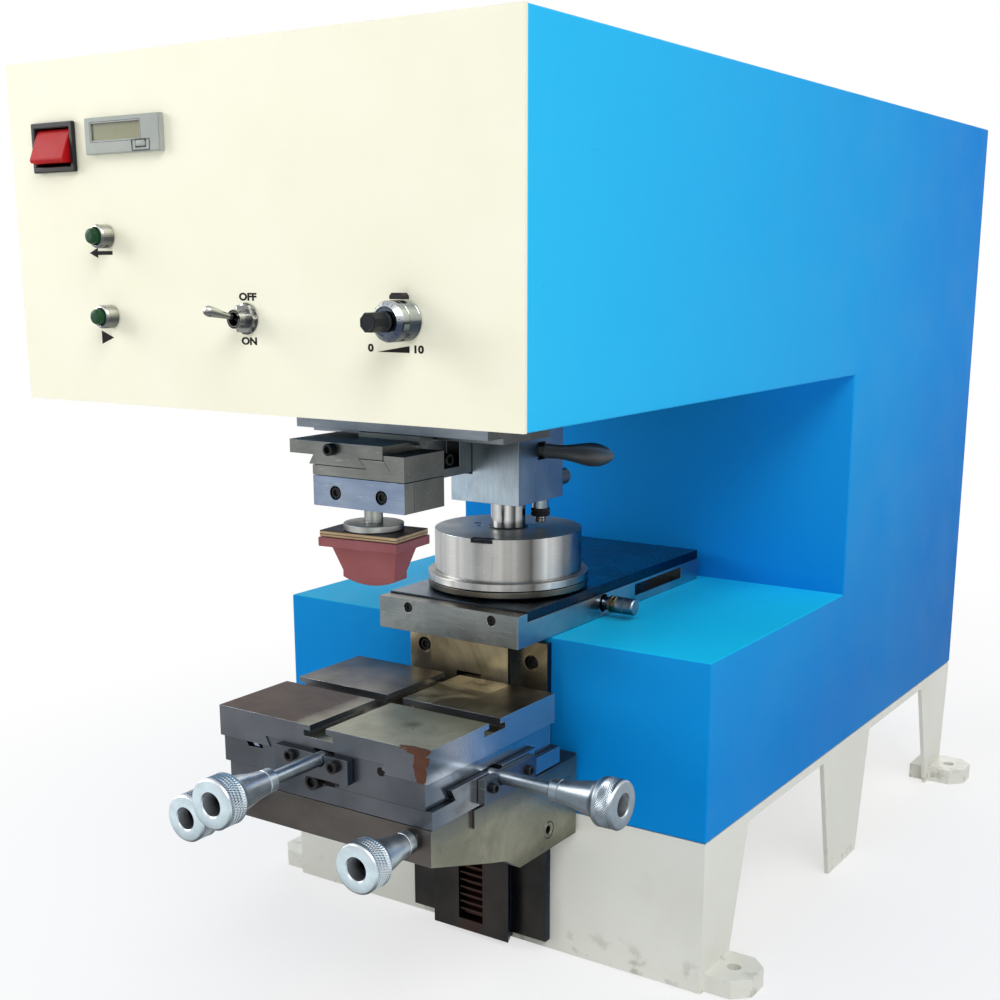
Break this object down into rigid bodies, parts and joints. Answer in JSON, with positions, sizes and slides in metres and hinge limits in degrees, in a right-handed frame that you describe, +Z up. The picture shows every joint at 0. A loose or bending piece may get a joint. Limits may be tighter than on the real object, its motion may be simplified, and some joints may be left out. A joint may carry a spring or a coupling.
{
  "type": "pad printing machine",
  "caption": "Desktop pad printing machine: closed ink cup and silicone pad on a sliding carriage above a work table with screw adjustment, height knee, housing and feet.",
  "frame": {"origin": "centre of the machine's bounding box at ground level, under the lugs", "axes": "+Z up; +Y from the front panel to the back; +X to the right as the operator sees it"},
  "size_m": [0.342, 0.658, 0.4875],
  "materials": {
    "blue_paint": "smooth gloss paint",
    "cream_paint": "satin paint",
    "stand_paint": "satin paint",
    "ground_steel": "ground, oily",
    "dark_steel": "oil-dark, machined",
    "bright_steel": "polished",
    "aluminium": "turned",
    "black_oxide": "blackened",
    "silicone": "matte silicone",
    "plywood": "varnished edge",
    "black_plastic": "matte",
    "red_plastic": "gloss",
    "grey_plastic": "matte",
    "green_plastic": "satin",
    "chrome": "bright",
    "board_green": "matte"
  },
  "bodies": {
    "frame": {"head_cover": "blue_paint", "head_floor": "blue_paint", "body_side_right": "blue_paint", "body_side_left": "blue_paint", "body_front": "blue_paint", "rear_cover": "blue_paint", "power_inlet": "black_plastic", "stand": "stand_paint", "front_panel": "cream_paint", "rocker_frame": "black_plastic", "counter": "grey_plastic", "reverse_bezel": "chrome", "start_bezel": "chrome", "toggle_body": "chrome", "dial_base": "chrome", "knee_guide": "dark_steel", "plate_holder": "dark_steel", "cliche_plate": "black_oxide", "rod_frame": "aluminium", "slide_motor": "black_oxide", "control_board": "board_green", "power_supply": "bright_steel"},
    "power_rocker": {"rocker": "red_plastic"},
    "counter_reset_key": {"counter_reset": "grey_plastic"},
    "reverse_key": {"reverse_button": "green_plastic"},
    "start_key": {"start_button": "green_plastic"},
    "mode_toggle": {"toggle_lever": "chrome"},
    "speed_grip": {"dial_grip": "black_plastic"},
    "speed_lock": {"dial_lock": "black_plastic"},
    "plate_latch": {"plate_button": "aluminium"},
    "knee": {"knee_body": "ground_steel", "knee_top": "ground_steel", "cross_bracket": "ground_steel"},
    "lift_shaft": {"lift_pinion": "bright_steel"},
    "lift_handle": {"lift_knob": "aluminium"},
    "lock_handle": {"lock_knob": "aluminium"},
    "cross_slide": {"saddle": "ground_steel", "table_bracket": "ground_steel"},
    "cross_handle": {"cross_knob": "aluminium"},
    "work_table": {"table": "ground_steel"},
    "table_handle": {"table_knob": "aluminium"},
    "print_slide": {"slide_plate": "aluminium", "slide_bridge": "aluminium", "pad_motor": "black_oxide", "cup_arm": "ground_steel", "cup_carrier": "ground_steel"},
    "drive_pinion": {"slide_pinion": "dark_steel"},
    "ram": {"pad_ram": "ground_steel"},
    "ram_pinion": {"pad_pinion": "dark_steel"},
    "pad_head": {"pad_block": "ground_steel", "pad_clamp_front": "bright_steel", "pad_clamp_rear": "ground_steel", "pad_stem": "aluminium", "pad_base": "plywood", "pad": "silicone"},
    "cup": {"cup_shaft": "bright_steel", "ink_cup": "aluminium", "doctor_ring": "bright_steel"},
    "cup_release": {"cup_lever": "aluminium"},
    "carrier_pin": {"carrier_plunger": "black_oxide"}
  },
  "joints": [
    {"name": "rocker_tilt", "type": "hinge", "parent": "frame", "child": "power_rocker", "pos_m": [-0.122, -0.29, 0.4478], "axis": [1, 0, 0], "range_deg": [0, 20]},
    {"name": "counter_reset_press", "type": "slide", "parent": "frame", "child": "counter_reset_key", "axis": [0, 1, 0], "range_m": [0, 0.0008], "stiffness_N_per_m": 300},
    {"name": "reverse_press", "type": "slide", "parent": "frame", "child": "reverse_key", "axis": [0, 1, 0], "range_m": [0, 0.002], "stiffness_N_per_m": 300},
    {"name": "start_press", "type": "slide", "parent": "frame", "child": "start_key", "axis": [0, 1, 0], "range_m": [0, 0.002], "stiffness_N_per_m": 300},
    {"name": "toggle_tilt", "type": "hinge", "parent": "frame", "child": "mode_toggle", "pos_m": [-0.0016, -0.295, 0.3695], "axis": [1, 0, 0], "range_deg": [0, 24]},
    {"name": "speed_turn", "type": "hinge", "parent": "frame", "child": "speed_grip", "pos_m": [0.088, -0.3042, 0.3703], "axis": [0, 1, 0], "range_deg": [0, 3600]},
    {"name": "speed_lock_turn", "type": "hinge", "parent": "frame", "child": "speed_lock", "pos_m": [0.088, -0.2945, 0.3703], "axis": [0, 1, 0], "range_deg": [-15, 15]},
    {"name": "plate_latch_press", "type": "slide", "parent": "frame", "child": "plate_latch", "axis": [-1, 0, 0], "range_m": [0, 0.004], "stiffness_N_per_m": 300},
    {"name": "knee_lift", "type": "slide", "parent": "frame", "child": "knee", "axis": [0, 0, 1], "range_m": [-0.06, 0.018]},
    {"name": "lift_shaft_turn", "type": "hinge", "parent": "knee", "child": "lift_shaft", "pos_m": [0, -0.1385, 0.0985], "axis": [1, 0, 0], "range_deg": [-58, 192]},
    {"name": "lift_knob_turn", "type": "hinge", "parent": "knee", "child": "lift_handle", "pos_m": [0.054, -0.2515, 0.119], "axis": [0, 1, 0], "range_deg": [-1150, 3825]},
    {"name": "lock_knob_turn", "type": "hinge", "parent": "knee", "child": "lock_handle", "pos_m": [-0.058, -0.2515, 0.119], "axis": [0, 1, 0], "range_deg": [0, 180]},
    {"name": "cross_travel", "type": "slide", "parent": "knee", "child": "cross_slide", "axis": [1, 0, 0], "range_m": [-0.015, 0.015]},
    {"name": "cross_knob_turn", "type": "hinge", "parent": "knee", "child": "cross_handle", "pos_m": [0.102, -0.195, 0.1383], "axis": [1, 0, 0], "range_deg": [-2705, 2705]},
    {"name": "table_travel", "type": "slide", "parent": "cross_slide", "child": "work_table", "axis": [0, 1, 0], "range_m": [-0.02, 0.008]},
    {"name": "table_knob_turn", "type": "hinge", "parent": "cross_slide", "child": "table_handle", "pos_m": [0, -0.289, 0.1515], "axis": [0, 1, 0], "range_deg": [-1445, 3605]},
    {"name": "slide_travel", "type": "slide", "parent": "frame", "child": "print_slide", "axis": [0, 1, 0], "range_m": [0, 0.11]},
    {"name": "drive_pinion_turn", "type": "hinge", "parent": "frame", "child": "drive_pinion", "pos_m": [0, -0.054, 0.395], "axis": [1, 0, 0], "range_deg": [-1, 422]},
    {"name": "pad_travel", "type": "slide", "parent": "print_slide", "child": "ram", "axis": [0, 0, -1], "range_m": [0, 0.02]},
    {"name": "ram_pinion_turn", "type": "hinge", "parent": "print_slide", "child": "ram_pinion", "pos_m": [0, -0.199, 0.345], "axis": [1, 0, 0], "range_deg": [-110, 1]},
    {"name": "pad_shift", "type": "slide", "parent": "ram", "child": "pad_head", "axis": [0, 1, 0], "range_m": [-0.006, 0.005]},
    {"name": "cup_lift_travel", "type": "slide", "parent": "print_slide", "child": "cup", "axis": [0, 0, 1], "range_m": [0, 0.002]},
    {"name": "cup_lever_turn", "type": "hinge", "parent": "print_slide", "child": "cup_release", "pos_m": [0.0175, -0.082, 0.29], "axis": [0, 1, 0], "range_deg": [-0.5, 8.5]},
    {"name": "carrier_pin_press", "type": "slide", "parent": "print_slide", "child": "carrier_pin", "axis": [0, -1, 0], "range_m": [0, 0.003], "stiffness_N_per_m": 300}
  ],
  "couplings": [
    {"joint": "lift_shaft_turn", "follows": "knee_lift", "rad_per_m": -55.556},
    {"joint": "lift_knob_turn", "follows": "knee_lift", "rad_per_m": -1111.1},
    {"joint": "cross_knob_turn", "follows": "cross_travel", "rad_per_m": -3141.6},
    {"joint": "table_knob_turn", "follows": "table_travel", "rad_per_m": -3141.6},
    {"joint": "drive_pinion_turn", "follows": "slide_travel", "rad_per_m": 66.667},
    {"joint": "ram_pinion_turn", "follows": "pad_travel", "rad_per_m": -95.238},
    {"joint": "cup_lever_turn", "follows": "cup_lift_travel", "rad_per_m": 69}
  ]
}
